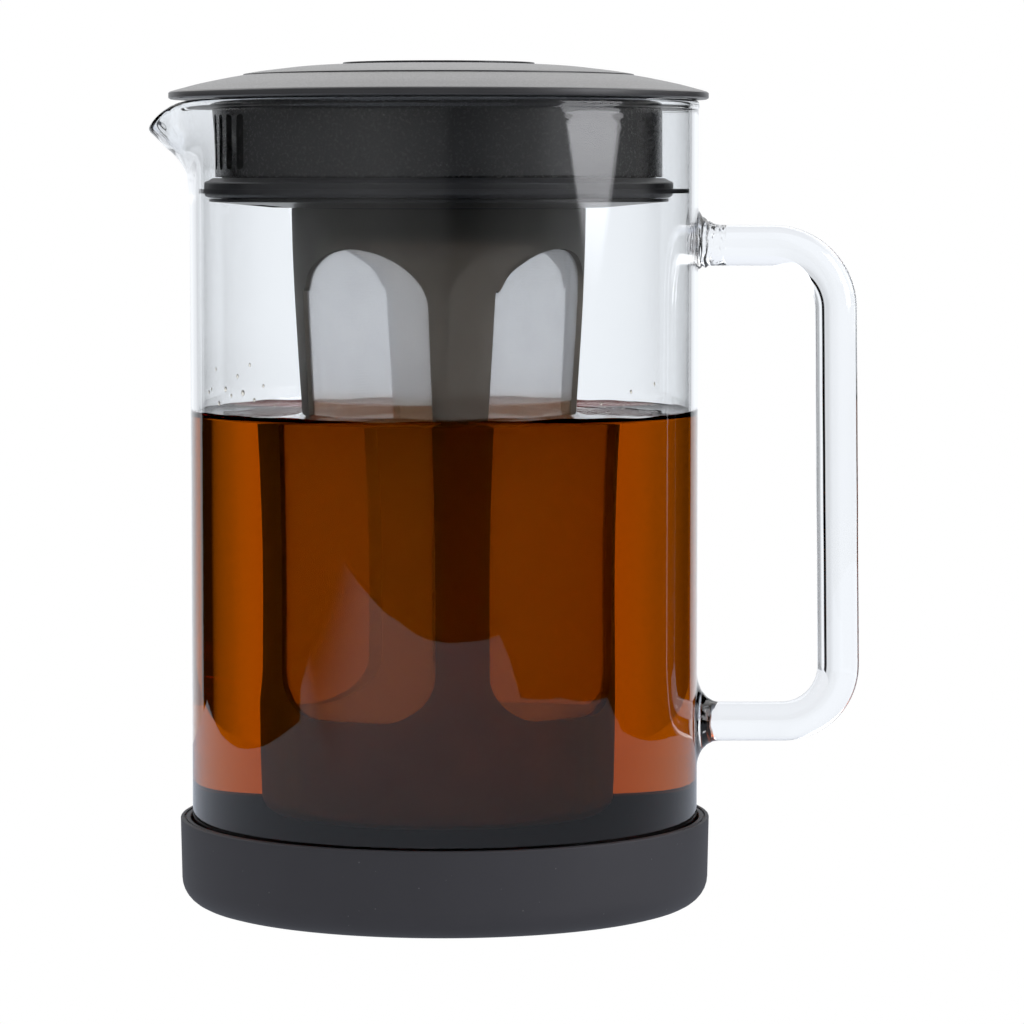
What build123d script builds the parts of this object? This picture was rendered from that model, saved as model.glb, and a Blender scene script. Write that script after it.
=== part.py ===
from build123d import *
import math
import os

os.makedirs("parts", exist_ok=True)

# Cold brew coffee maker: a lidded glass jug with a brewing filter that hangs
# from the lid, standing in a soft boot. All lengths are millimetres.
# Z up, floor at z = 0, glass axis on x = y = 0, handle at +X, spout at -X.

# ---- boot -------------------------------------------------------------------
BOOT_R = 63.75           # outside radius at the rim
BOOT_LOW_R = 63.3        # outside radius above the bottom corner
BOOT_H = 20.9            # height of the cup
BOOT_FLOOR = 2.5         # thickness of the bottom
BOOT_BORE_R = 61.1       # inside radius, 0.3 clear of the glass
BOOT_CORNER_R = 6.4      # rounding of the outside bottom corner
BOOT_BORE_CORNER_R = 8.5
BOOT_GRIP_RADII = (28.0, 36.0, 44.0)   # shallow grip grooves underneath
BOOT_GRIP_W = 1.6
BOOT_GRIP_D = 0.6

# ---- glass ------------------------------------------------------------------
GLASS_R = 60.8           # outside radius
GLASS_WALL = 1.8
GLASS_BORE_R = GLASS_R - GLASS_WALL
GLASS_TOP = 192.6        # rim
GLASS_FLOOR = 3.0        # bottom thickness
GLASS_CORNER_R = 9.0
GLASS_BORE_CORNER_R = 7.2
RIM_BEAD_R = 1.15        # fire-polished bead at the rim

# ---- spout ------------------------------------------------------------------
SPOUT_HALF_DEG = 20.0    # half the angle that the spout takes of the wall
# z, how far the nose stands out of the wall, outside and inside
SPOUT_OUT = ((169.0, 0.3), (173.1, 0.6), (175.3, 1.0), (177.5, 2.1), (179.3, 3.5),
             (181.3, 5.7), (183.3, 7.7), (185.3, 9.8), (194.0, 9.8))
SPOUT_IN = ((172.0, 0.3), (175.5, 0.7), (177.8, 1.4), (180.0, 3.0), (182.2, 5.2),
            (184.4, 7.4), (186.6, 9.4), (194.5, 9.4))
SPOUT_NOSE_R = 7.0
SPOUT_NOSE_BORE_R = 5.0

# ---- handle -----------------------------------------------------------------
ROD_R = 5.05             # solid glass rod
ROD_TOP_X = 93.75        # centreline of the upright at the upper arm's height
ROD_LOW_X = 95.05        # and at the lower arm's: the upright leans out a little
ARM_TOP_Z = 158.0
ARM_LOW_Z = 43.35
BEND_TOP_R = 15.2
BEND_LOW_R = 13.6
JOINT_TOP_R = 7.2        # the upper end spreads to this where it meets the wall
JOINT_TOP_L = 6.0
JOINT_LOW_R = 10.4
JOINT_LOW_L = 7.0

# ---- lid group: sits 1.3 off the glass axis, towards the spout ---------------
LX = -1.3
LID_R = 64.5
LID_Z0 = 192.8           # underside of the rim, on top of the glass
LID_EDGE_Z = 194.4
DOME_1 = ((64.05, 194.65), (61.8, 195.25), (57.0, 196.5), (50.8, 197.75), (46.7, 198.3))
DISC_R = 46.7
DISC_EDGE = (198.4, 198.78)
DOME_2 = ((46.5, 198.82), (42.9, 199.4), (38.1, 200.0), (33.3, 200.55), (28.5, 200.9), (22.9, 201.15))
CAP_R = 22.9
CAP_EDGE = (201.22, 201.6)
DISC_SEAT_Z = 197.4
CAP_SEAT_Z = 200.3

PLUG_R = 53.5            # skirt that hangs inside the neck
PLUG_WALL = 2.2
PLUG_SHOULDER_Z = 174.3
PLUG_NECK_R = 51.9       # carries the seal
PLUG_Z0 = 169.2
PLUG_FLANGE_R = 46.5
PLUG_FLANGE_Z = 191.2
SLOT_COUNT = 11          # pouring slots on the spout side
SLOT_PITCH_DEG = 6.4
SLOT_W = 3.4
SLOT_Z = (176.0, 189.0)

PLATE_R = 55.0           # closes the bottom of the plug and clamps the seal
PLATE_Z0 = 167.1
PLATE_FLAT_R = 40.0      # flat this far out, then the underside slopes up to the edge
PLATE_EDGE_Z = 168.5
INLET_R = (38.5, 47.5)
INLET_DEG = 34.0

SEAL_R = 56.0
SEAL_BORE_R = 52.2
SEAL_Z = (169.4, 174.1)
LIP_R = 58.7             # wiper lip, concentric with the glass
LIP_Z = (170.5, 171.5)

# ---- filter -----------------------------------------------------------------
FILTER_TOP = 166.9
FILTER_Z0 = 22.0
FILTER_WALL = 1.9
FILTER_PROFILE = ((166.9, 35.2), (150.0, 34.75), (134.0, 33.9), (118.0, 32.9), (100.0, 32.2),
                  (85.0, 31.9), (60.0, 31.9), (40.0, 31.9), (26.5, 31.6))
FILTER_CORNER = 4.5
NECK_Z = 158.6           # thicker neck with the bayonet grooves above this
NECK_BORE_R = 32.7
WINDOW_CENTRES_DEG = (-35.2, 54.8, 144.8, 234.8)   # from the front, towards the handle
WINDOW_HALF_W = 18.2
WINDOW_Z = (47.0, 157.5)
WINDOW_CORNER_R = 11.0
WINDOW_ARCH_H = 13.5
MESH_INSET = 1.35
MESH_T = 0.5

SPIGOT_R = (30.2, 32.3)  # ring under the plate that enters the filter's neck
SPIGOT_Z0 = 159.2
LUG_R = 33.8
LUG_Z = (160.6, 162.8)
LUG_HALF_DEG = 6.0
GROOVE_R = 34.15
GROOVE_Z = (160.3, 163.1)
TWIST_DEG = 30.0


# ---- helpers ----------------------------------------------------------------
def corner_edges(points):
    """Edges of a closed profile in the XZ plane, from (r, z, corner radius) points."""
    n = len(points)
    spans = []
    for i in range(n):
        p0, p1, p2 = points[i - 1], points[i], points[(i + 1) % n]
        rad = p1[2] if len(p1) > 2 else 0.0
        v1 = (p0[0] - p1[0], p0[1] - p1[1])
        v2 = (p2[0] - p1[0], p2[1] - p1[1])
        l1, l2 = math.hypot(*v1), math.hypot(*v2)
        u1, u2 = (v1[0] / l1, v1[1] / l1), (v2[0] / l2, v2[1] / l2)
        if rad <= 0:
            spans.append((p1[:2], None, p1[:2]))
            continue
        cosang = max(-1.0, min(1.0, u1[0] * u2[0] + u1[1] * u2[1]))
        half = math.acos(cosang) / 2
        t = rad / math.tan(half)
        a = (p1[0] + u1[0] * t, p1[1] + u1[1] * t)
        b = (p1[0] + u2[0] * t, p1[1] + u2[1] * t)
        bis = (u1[0] + u2[0], u1[1] + u2[1])
        lb = math.hypot(*bis)
        d = rad / math.sin(half)
        c = (p1[0] + bis[0] / lb * d, p1[1] + bis[1] / lb * d)
        m = (c[0] - bis[0] / lb * rad, c[1] - bis[1] / lb * rad)
        spans.append((a, m, b))
    edges = []
    for i in range(n):
        a, m, b = spans[i]
        if m is not None:
            edges.append(ThreePointArc(v3(a), v3(m), v3(b)))
        nxt = spans[(i + 1) % n][0]
        if math.hypot(nxt[0] - b[0], nxt[1] - b[1]) > 1e-6:
            edges.append(Line(v3(b), v3(nxt)))
    return edges


def v3(p):
    return (p[0], 0.0, p[1])


def lathe(edges, x=0.0):
    face = Face(Wire(edges))
    solid = revolve(face, Axis.Z)
    return Pos(x, 0, 0) * solid


def turned(points, x=0.0):
    return lathe(corner_edges(points), x)


def tube(r0, r1, z0, z1, x=0.0):
    return turned([(r0, z0), (r1, z0), (r1, z1), (r0, z1)], x)


def sector(r0, r1, z0, z1, a0, a1, x=0.0):
    """Part of a ring, between two angles about Z in degrees from +X."""
    edges = corner_edges([(r0, z0), (r1, z0), (r1, z1), (r0, z1)])
    part = revolve(Face(Wire(edges)), Axis.Z, revolution_arc=a1 - a0)
    return Pos(x, 0, 0) * (Rot(0, 0, a0) * part)


def one(part, name):
    solids = part.solids()
    solids = sorted(solids, key=lambda s: s.volume)
    if len(solids) != 1:
        print(name, "has", len(solids), "solids", [round(s.volume, 2) for s in solids])
    s = solids[-1]
    s.label = name
    return s


parts = {}

# ---- boot -------------------------------------------------------------------
boot = turned([
    (0.0, 0.0), (BOOT_LOW_R, 0.0, BOOT_CORNER_R), (BOOT_R, BOOT_H, 0.7), (BOOT_BORE_R + 0.02, BOOT_H, 0.5),
    (BOOT_BORE_R, BOOT_FLOOR, BOOT_BORE_CORNER_R), (0.0, BOOT_FLOOR),
])
for r in BOOT_GRIP_RADII:
    boot = boot - tube(r - BOOT_GRIP_W / 2, r + BOOT_GRIP_W / 2, -1.0, BOOT_GRIP_D)
parts["base_boot"] = boot

# ---- glass body with its spout ----------------------------------------------
glass_outer = turned([(0.0, BOOT_FLOOR), (GLASS_R, BOOT_FLOOR, GLASS_CORNER_R), (GLASS_R, GLASS_TOP - RIM_BEAD_R),
                      (0.0, GLASS_TOP - RIM_BEAD_R)])
glass_bore = turned([(0.0, BOOT_FLOOR + GLASS_FLOOR), (GLASS_BORE_R, BOOT_FLOOR + GLASS_FLOOR, GLASS_BORE_CORNER_R),
                     (GLASS_BORE_R, GLASS_TOP + 5), (0.0, GLASS_TOP + 5)])
bead_c = (GLASS_R + GLASS_BORE_R) / 2
bead = Pos(0, 0, GLASS_TOP - RIM_BEAD_R) * Torus(bead_c, RIM_BEAD_R)


def wedge_section(z, stand, wall_r, nose_r):
    """Level outline of the spout: straight flanks from the wall to a round nose at -X."""
    a = math.radians(SPOUT_HALF_DEG)
    tx, ty = -wall_r * math.cos(a), wall_r * math.sin(a)
    cx = -(wall_r + stand - nose_r)
    # tangent point of the line from (tx, ty) to the nose circle, on its outer side
    dx, dy = tx - cx, ty
    d = math.hypot(dx, dy)
    base = math.atan2(dy, dx)
    off = math.acos(min(1.0, nose_r / d))
    ang = base + off
    nx, ny = cx + nose_r * math.cos(ang), nose_r * math.sin(ang)
    back = -wall_r * 0.62
    pts = [(back, ty), (tx, ty), (nx, ny), (cx - nose_r, 0.0), (nx, -ny), (tx, -ty), (back, -ty)]
    edges = [
        Line((*pts[0], z), (*pts[1], z)),
        Line((*pts[1], z), (*pts[2], z)),
        ThreePointArc((*pts[2], z), (*pts[3], z), (*pts[4], z)),
        Line((*pts[4], z), (*pts[5], z)),
        Line((*pts[5], z), (*pts[6], z)),
        Line((*pts[6], z), (*pts[0], z)),
    ]
    return Face(Wire(edges))


horn_out = loft([wedge_section(z, s, GLASS_R, SPOUT_NOSE_R) for z, s in SPOUT_OUT], ruled=True)
horn_in = loft([wedge_section(z, s, GLASS_BORE_R, SPOUT_NOSE_BORE_R) for z, s in SPOUT_IN], ruled=True)
lip_cut_edges = [Line(v3(a), v3(b)) for a, b in (
    ((-60.2, 192.6), (-68.0, 188.6)), ((-68.0, 188.6), (-70.55, 185.6)), ((-70.55, 185.6), (-80.0, 185.6)),
    ((-80.0, 185.6), (-80.0, 198.0)), ((-80.0, 198.0), (-60.2, 198.0)), ((-60.2, 198.0), (-60.2, 192.6)))]
lip_cut = extrude(Face(Wire(lip_cut_edges)), amount=40, dir=(0, 1, 0), both=True)
top_cut = Pos(0, 0, GLASS_TOP + 10) * Box(200, 200, 20)

glass = (glass_outer + bead + (horn_out - top_cut)) - glass_bore - horn_in - lip_cut
parts["glass_carafe"] = glass

# ---- glass handle ------------------------------------------------------------


def bend(p0, p1, p2, radius):
    """Start, middle and end of the arc that rounds the corner p1 of an (x, z) line."""
    u1 = ((p0[0] - p1[0]), (p0[1] - p1[1]))
    u2 = ((p2[0] - p1[0]), (p2[1] - p1[1]))
    l1, l2 = math.hypot(*u1), math.hypot(*u2)
    u1, u2 = (u1[0] / l1, u1[1] / l1), (u2[0] / l2, u2[1] / l2)
    half = math.acos(u1[0] * u2[0] + u1[1] * u2[1]) / 2
    t = radius / math.tan(half)
    bis = (u1[0] + u2[0], u1[1] + u2[1])
    lb = math.hypot(*bis)
    d = radius / math.sin(half)
    m = (p1[0] + bis[0] / lb * (d - radius), p1[1] + bis[1] / lb * (d - radius))
    return (p1[0] + u1[0] * t, p1[1] + u1[1] * t), m, (p1[0] + u2[0] * t, p1[1] + u2[1] * t)


rod_pts = ((54.0, ARM_TOP_Z), (ROD_TOP_X, ARM_TOP_Z), (ROD_LOW_X, ARM_LOW_Z), (54.0, ARM_LOW_Z))
ta, tm, tb = bend(rod_pts[0], rod_pts[1], rod_pts[2], BEND_TOP_R)
la, lm, lb_ = bend(rod_pts[1], rod_pts[2], rod_pts[3], BEND_LOW_R)
path = Wire([
    Line(v3(rod_pts[0]), v3(ta)),
    ThreePointArc(v3(ta), v3(tm), v3(tb)),
    Line(v3(tb), v3(la)),
    ThreePointArc(v3(la), v3(lm), v3(lb_)),
    Line(v3(lb_), v3(rod_pts[3])),
])
rod = sweep(Plane((54.0, 0, ARM_TOP_Z), x_dir=(0, 1, 0), z_dir=(1, 0, 0)) * Circle(ROD_R), path=path)


def flare(z, radius, length):
    """Spread end of the rod: a fillet-like curve turned about the arm's line."""
    n = 8
    curve = []
    for i in range(n + 1):
        s = i / n
        curve.append((GLASS_R + length * s, ROD_R - 0.02 + (radius - ROD_R) * (1 - math.sin(s * math.pi / 2))))
    pts = [(54.0, 0.0), (54.0, radius)] + curve + [(GLASS_R + length, 0.0)]
    edges = [Line((a[0], 0, z + a[1]), (b[0], 0, z + b[1])) for a, b in zip(pts, pts[1:])]
    edges.append(Line((pts[-1][0], 0, z + pts[-1][1]), (pts[0][0], 0, z + pts[0][1])))
    return revolve(Face(Wire(edges)), Axis((0, 0, z), (1, 0, 0)))


handle = rod + flare(ARM_TOP_Z, JOINT_TOP_R, JOINT_TOP_L) + flare(ARM_LOW_Z, JOINT_LOW_R, JOINT_LOW_L)
handle = handle - Pos(0, 0, 100) * Cylinder(GLASS_R, 260)
parts["glass_handle"] = handle

# ---- lid ---------------------------------------------------------------------
dome1 = Spline(*[v3(p) for p in DOME_1])
cover_pts = [(DISC_R, 198.3), (DISC_R - 1.6, 198.3), (DISC_R - 1.6, DISC_SEAT_Z), (0.0, DISC_SEAT_Z), (0.0, 195.6),
             (47.0, 195.6), (49.0, LID_Z0), (LID_R - 0.4, LID_Z0), (LID_R, LID_Z0 + 0.4), (LID_R, LID_EDGE_Z - 0.25), DOME_1[0]]
cover_edges = [dome1] + [Line(v3(a), v3(b)) for a, b in zip(cover_pts, cover_pts[1:])]
parts["lid_cover"] = lathe(cover_edges, LX)

dome2 = Spline(*[v3(p) for p in DOME_2])
disc_pts = [DOME_2[-1], (22.0, 201.15), (22.0, CAP_SEAT_Z), (0.0, CAP_SEAT_Z), (0.0, DISC_SEAT_Z),
            (DISC_R - 1.65, DISC_SEAT_Z), (DISC_R - 1.65, DISC_EDGE[0]), (DISC_R, DISC_EDGE[0]),
            (DISC_R, DISC_EDGE[1] - 0.12), DOME_2[0]]
disc_edges = [dome2] + [Line(v3(a), v3(b)) for a, b in zip(disc_pts, disc_pts[1:])]
parts["lid_step_disc"] = lathe(disc_edges, LX)

parts["lid_centre_cap"] = turned([
    (0.0, CAP_SEAT_Z), (21.9, CAP_SEAT_Z), (21.9, CAP_EDGE[0]), (CAP_R, CAP_EDGE[0]), (CAP_R, CAP_EDGE[1], 0.12),
    (0.0, CAP_EDGE[1]),
], LX)

# plug: skirt, neck for the seal, top flange, pouring slots towards the spout
plug = turned([
    (PLUG_NECK_R - PLUG_WALL, PLUG_Z0), (PLUG_NECK_R, PLUG_Z0), (PLUG_NECK_R, PLUG_SHOULDER_Z),
    (PLUG_R, PLUG_SHOULDER_Z, 0.4), (PLUG_R, LID_Z0), (PLUG_FLANGE_R, LID_Z0), (PLUG_FLANGE_R, PLUG_FLANGE_Z),
    (PLUG_R - PLUG_WALL, PLUG_FLANGE_Z), (PLUG_R - PLUG_WALL, PLUG_SHOULDER_Z + 2.0),
    (PLUG_NECK_R - PLUG_WALL, PLUG_SHOULDER_Z),
], LX)
slot_h = SLOT_Z[1] - SLOT_Z[0]
for i in range(SLOT_COUNT):
    a = 180.0 + (i - (SLOT_COUNT - 1) / 2) * SLOT_PITCH_DEG
    slot = Box(8.0, SLOT_W, slot_h)
    slot = fillet(slot.edges().filter_by(Axis.X), SLOT_W / 2 - 0.3)
    plug = plug - Pos(LX, 0, 0) * (Rot(0, 0, a) * (Pos(PLUG_R - 1.0, 0, (SLOT_Z[0] + SLOT_Z[1]) / 2) * slot))
parts["lid_plug"] = plug

# plate: closes the plug, clamps the seal, lets coffee in on the spout side, carries the filter
plate = turned([(0.0, PLATE_Z0), (PLATE_FLAT_R, PLATE_Z0), (PLATE_R, PLATE_EDGE_Z), (PLATE_R, PLUG_Z0), (0.0, PLUG_Z0)], LX)
plate = plate + tube(47.9, PLUG_NECK_R - PLUG_WALL - 0.02, PLUG_Z0 - 0.5, PLUG_Z0 + 2.4, LX)
for k in (-1, 0, 1):
    mid = 180.0 + k * (INLET_DEG * 2 / 3)
    plate = plate - sector(INLET_R[0], INLET_R[1], PLATE_Z0 - 1, PLUG_Z0 + 0.2, mid - 9.3, mid + 9.3, LX)
plate = plate + tube(SPIGOT_R[0], SPIGOT_R[1], SPIGOT_Z0, PLATE_Z0 + 0.5, LX)
for k in range(3):
    mid = 90.0 + k * 120.0
    plate = plate + sector(SPIGOT_R[1] - 0.8, LUG_R, LUG_Z[0], LUG_Z[1], mid - LUG_HALF_DEG, mid + LUG_HALF_DEG, LX)
parts["plug_base_plate"] = plate

# seal: body ring around the plug's neck, thin wiper lip that reaches the glass
seal = turned([
    (SEAL_BORE_R, SEAL_Z[0]), (SEAL_R, SEAL_Z[0], 1.4), (SEAL_R, SEAL_Z[1] - 1.1, 0.5), (SEAL_R - 2.0, SEAL_Z[1], 0.8),
    (SEAL_BORE_R, SEAL_Z[1]),
], LX)
lip_mid_z = (LIP_Z[0] + LIP_Z[1]) / 2
lip = Pos(0, 0, lip_mid_z) * Cylinder(LIP_R, LIP_Z[1] - LIP_Z[0])
lip = lip - Pos(LX, 0, lip_mid_z) * Cylinder(SEAL_R - 1.9, 5.0)
parts["lid_gasket"] = seal + lip


# ---- filter ------------------------------------------------------------------
def filter_r(z):
    """Outside radius of the filter frame at a height."""
    pts = sorted(FILTER_PROFILE)
    if z <= pts[0][0]:
        return pts[0][1]
    for (z0, r0), (z1, r1) in zip(pts, pts[1:]):
        if z <= z1:
            t = (z - z0) / (z1 - z0)
            return r0 + (r1 - r0) * t
    return pts[-1][1]


outer_curve = [(r, z) for z, r in FILTER_PROFILE]            # top to bottom
inner_curve = [(r - FILTER_WALL, z) for z, r in FILTER_PROFILE if 27 < z < NECK_Z]
inner_curve = [(filter_r(NECK_Z - 1.5) - FILTER_WALL, NECK_Z - 1.5)] + inner_curve
z_low = FILTER_PROFILE[-1][0]
edges = [Spline(*[v3(p) for p in outer_curve])]
edges.append(ThreePointArc(v3((outer_curve[-1][0], z_low)),
                           v3((outer_curve[-1][0] - FILTER_CORNER * (1 - math.sqrt(0.5)),
                               z_low - FILTER_CORNER * math.sqrt(0.5))),
                           v3((outer_curve[-1][0] - FILTER_CORNER, FILTER_Z0))))
tail = [(outer_curve[-1][0] - FILTER_CORNER, FILTER_Z0), (0.0, FILTER_Z0), (0.0, FILTER_Z0 + 2.0),
        (26.5, FILTER_Z0 + 2.0), (29.9, FILTER_Z0 + 6.0), inner_curve[-1]]
edges += [Line(v3(a), v3(b)) for a, b in zip(tail, tail[1:])]
edges.append(Spline(*[v3(p) for p in reversed(inner_curve)]))
neck = [inner_curve[0], (NECK_BORE_R, NECK_Z), (NECK_BORE_R, FILTER_TOP), outer_curve[0]]
edges += [Line(v3(a), v3(b)) for a, b in zip(neck, neck[1:])]
frame_solid = lathe(edges)


def window_cutter(reach0=20.0, reach1=45.0):
    """Prism along +X with the arched window outline in the YZ plane."""
    w, zb, zt, rc = WINDOW_HALF_W, WINDOW_Z[0], WINDOW_Z[1], WINDOW_CORNER_R
    zs = zt - WINDOW_ARCH_H

    def p(y, z):
        return (reach0, y, z)

    s = math.sqrt(0.5)
    n = 12
    arch = []
    for i in range(n + 1):
        t = math.pi * i / n
        arch.append(p(w * math.cos(t), zs + WINDOW_ARCH_H * math.sin(t)))
    arch_edge = Spline(*arch, tangents=((0, 0, 1), (0, 0, -1)))
    e = [
        Line(p(-w + rc, zb), p(w - rc, zb)),
        ThreePointArc(p(w - rc, zb), p(w - rc + rc * s, zb + rc - rc * s), p(w, zb + rc)),
        Line(p(w, zb + rc), p(w, zs)),
        arch_edge,
        Line(p(-w, zs), p(-w, zb + rc)),
        ThreePointArc(p(-w, zb + rc), p(-w + rc - rc * s, zb + rc - rc * s), p(-w + rc, zb)),
    ]
    return extrude(Face(Wire(e)), amount=reach1 - reach0, dir=(1, 0, 0))


cutter = window_cutter()
mesh_z = [40.0, 50.0, 60.0, 72.0, 85.0, 100.0, 118.0, 134.0, 150.0, 160.0]
mesh_out = [(filter_r(z) - MESH_INSET, z) for z in mesh_z]
mesh_in = [(filter_r(z) - MESH_INSET - MESH_T, z) for z in reversed(mesh_z)]
mesh_edges = [Spline(*[v3(p) for p in mesh_out]), Line(v3(mesh_out[-1]), v3(mesh_in[0])),
              Spline(*[v3(p) for p in mesh_in]), Line(v3(mesh_in[-1]), v3(mesh_out[0]))]
mesh_shell = lathe(mesh_edges)

names = ("filter_mesh_front_left", "filter_mesh_front_right", "filter_mesh_back_right", "filter_mesh_back_left")
for name, deg in zip(names, WINDOW_CENTRES_DEG):
    turn = Rot(0, 0, deg - 90.0)       # angle from the front (-Y), positive towards +X
    c = turn * cutter
    frame_solid = frame_solid - c
    parts[name] = Pos(LX, 0, 0) * (mesh_shell & c)

# bayonet grooves inside the neck: a level run and an entry slot for each lug
for k in range(3):
    mid = 90.0 + k * 120.0
    frame_solid = frame_solid - sector(NECK_BORE_R - 0.5, GROOVE_R, GROOVE_Z[0], GROOVE_Z[1],
                                       mid - TWIST_DEG - LUG_HALF_DEG - 1.5, mid + LUG_HALF_DEG + 0.8)
    frame_solid = frame_solid - sector(NECK_BORE_R - 0.5, GROOVE_R, GROOVE_Z[0], FILTER_TOP + 1.0,
                                       mid - TWIST_DEG - LUG_HALF_DEG - 1.5, mid - TWIST_DEG + LUG_HALF_DEG + 1.5)
parts["filter_frame"] = Pos(LX, 0, 0) * frame_solid

# ---- write -------------------------------------------------------------------
for name, part in parts.items():
    solid = one(part, name)
    export_step(solid, "parts/%s.step" % name)
    bb = solid.bounding_box()
    print("%-26s %10.1f mm3  x %7.2f..%7.2f  y %7.2f..%7.2f  z %7.2f..%7.2f" % (
        name, solid.volume, bb.min.X, bb.max.X, bb.min.Y, bb.max.Y, bb.min.Z, bb.max.Z))
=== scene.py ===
import bpy
import math
import numpy as np
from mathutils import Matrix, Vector


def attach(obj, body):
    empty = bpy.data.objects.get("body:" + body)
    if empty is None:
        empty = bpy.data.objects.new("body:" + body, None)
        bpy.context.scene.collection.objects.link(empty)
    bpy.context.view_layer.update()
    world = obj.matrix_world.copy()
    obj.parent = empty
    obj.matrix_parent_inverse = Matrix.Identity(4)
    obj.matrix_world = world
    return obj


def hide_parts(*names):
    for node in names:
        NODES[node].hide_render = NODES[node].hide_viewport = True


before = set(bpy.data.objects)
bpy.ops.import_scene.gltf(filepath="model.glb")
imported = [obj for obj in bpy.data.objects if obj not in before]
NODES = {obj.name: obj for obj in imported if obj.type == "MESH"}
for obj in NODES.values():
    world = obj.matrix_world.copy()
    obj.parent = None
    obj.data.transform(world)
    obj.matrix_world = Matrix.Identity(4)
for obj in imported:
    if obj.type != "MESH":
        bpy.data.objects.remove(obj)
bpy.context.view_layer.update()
MM = 0.001
rng = np.random.default_rng(7)

# Jug axis is x = y = 0. The lid group and the filter sit 1.3 mm off it, towards the spout.
LX = -1.3
GLASS_R, BORE_R = 60.8, 59.0
LEVEL_Z = 117.0            # height of the coffee away from the walls
CLIMB = 1.9                # how far it climbs the glass
CONTACT_Z = LEVEL_Z + CLIMB


# ------------------------------------------------------------------ mesh helpers
def add_mesh(name, verts_mm, faces, mats, face_mat=None, sharp_deg=None):
    me = bpy.data.meshes.new(name)
    me.from_pydata([(x * MM, y * MM, z * MM) for x, y, z in verts_mm], [], faces)
    for m in mats:
        me.materials.append(m)
    me.polygons.foreach_set("use_smooth", [True] * len(me.polygons))
    if face_mat is not None:
        me.polygons.foreach_set("material_index", face_mat)
    if sharp_deg is not None:
        me.set_sharp_from_angle(angle=math.radians(sharp_deg))
    me.validate()
    me.update()
    ob = bpy.data.objects.new(name, me)
    bpy.context.scene.collection.objects.link(ob)
    return ob


def rounded(points, seg=5):
    """Closed profile of (r, z) from (r, z, corner radius) points."""
    out = []
    n = len(points)
    for i in range(n):
        p0, p1, p2 = points[i - 1], points[i], points[(i + 1) % n]
        rad = p1[2] if len(p1) > 2 else 0.0
        if rad <= 0:
            out.append((p1[0], p1[1]))
            continue
        v1 = np.array([p0[0] - p1[0], p0[1] - p1[1]], float)
        v2 = np.array([p2[0] - p1[0], p2[1] - p1[1]], float)
        u1, u2 = v1 / np.linalg.norm(v1), v2 / np.linalg.norm(v2)
        half = math.acos(max(-1.0, min(1.0, float(u1 @ u2)))) / 2
        t = rad / math.tan(half)
        bis = (u1 + u2) / np.linalg.norm(u1 + u2)
        c = np.array(p1[:2]) + bis * rad / math.sin(half)
        a = np.array(p1[:2]) + u1 * t - c
        b = np.array(p1[:2]) + u2 * t - c
        ang = math.acos(max(-1.0, min(1.0, float(a @ b) / rad ** 2)))
        steps = max(2, int(round(seg * ang / (math.pi / 2))))
        for k in range(steps + 1):
            s = k / steps
            w = (math.sin((1 - s) * ang) * a + math.sin(s * ang) * b) / math.sin(ang)
            out.append((c[0] + w[0], c[1] + w[1]))
    return out


def curve_through(points, per=6):
    """Points on a smooth curve through the given ones, per intervals each."""
    p = np.array(points, float)
    ext = np.vstack([2 * p[0] - p[1], p, 2 * p[-1] - p[-2]])
    out = []
    for i in range(len(p) - 1):
        a, b, c, d = ext[i], ext[i + 1], ext[i + 2], ext[i + 3]
        for k in range(per):
            t = k / per
            out.append(0.5 * ((2 * b) + (c - a) * t + (2 * a - 5 * b + 4 * c - d) * t * t + (3 * b - a - 3 * c + d) * t ** 3))
    out.append(p[-1])
    return [tuple(q) for q in out]


def lathe(name, profile, mats, n=320, x=0.0, sharp_deg=35.0, split=6.0, warp=None):
    """Closed (r, z) profile turned about the vertical line at x. Long straight runs are divided."""
    prof = []
    m = len(profile)
    for i in range(m):
        a, b = np.array(profile[i], float), np.array(profile[(i + 1) % m], float)
        if a[0] < 1e-6 and b[0] < 1e-6:
            prof.append(tuple(a))
            continue
        cuts = max(1, int(math.ceil(np.linalg.norm(b - a) / split)))
        for k in range(cuts):
            prof.append(tuple(a + (b - a) * k / cuts))
    area = sum(prof[i][0] * prof[(i + 1) % len(prof)][1] - prof[(i + 1) % len(prof)][0] * prof[i][1] for i in range(len(prof)))
    if area < 0:
        prof.reverse()
    verts, rows = [], []
    for r, z in prof:
        if r < 1e-6:
            rows.append([len(verts)])
            verts.append((x, 0.0, z))
        else:
            rows.append(list(range(len(verts), len(verts) + n)))
            for j in range(n):
                t = 2 * math.pi * j / n
                verts.append((x + r * math.cos(t), r * math.sin(t), z))
    faces = []
    m = len(prof)
    for i in range(m):
        a, b = rows[i], rows[(i + 1) % m]
        if len(a) == 1 and len(b) == 1:
            continue
        for j in range(n):
            k = (j + 1) % n
            if len(a) == 1:
                faces.append((a[0], b[k], b[j]))
            elif len(b) == 1:
                faces.append((a[j], a[k], b[0]))
            else:
                faces.append((a[j], a[k], b[k], b[j]))
    if warp is not None:
        verts = [warp(*v) for v in verts]
    return add_mesh(name, verts, faces, mats, sharp_deg=sharp_deg)


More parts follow.
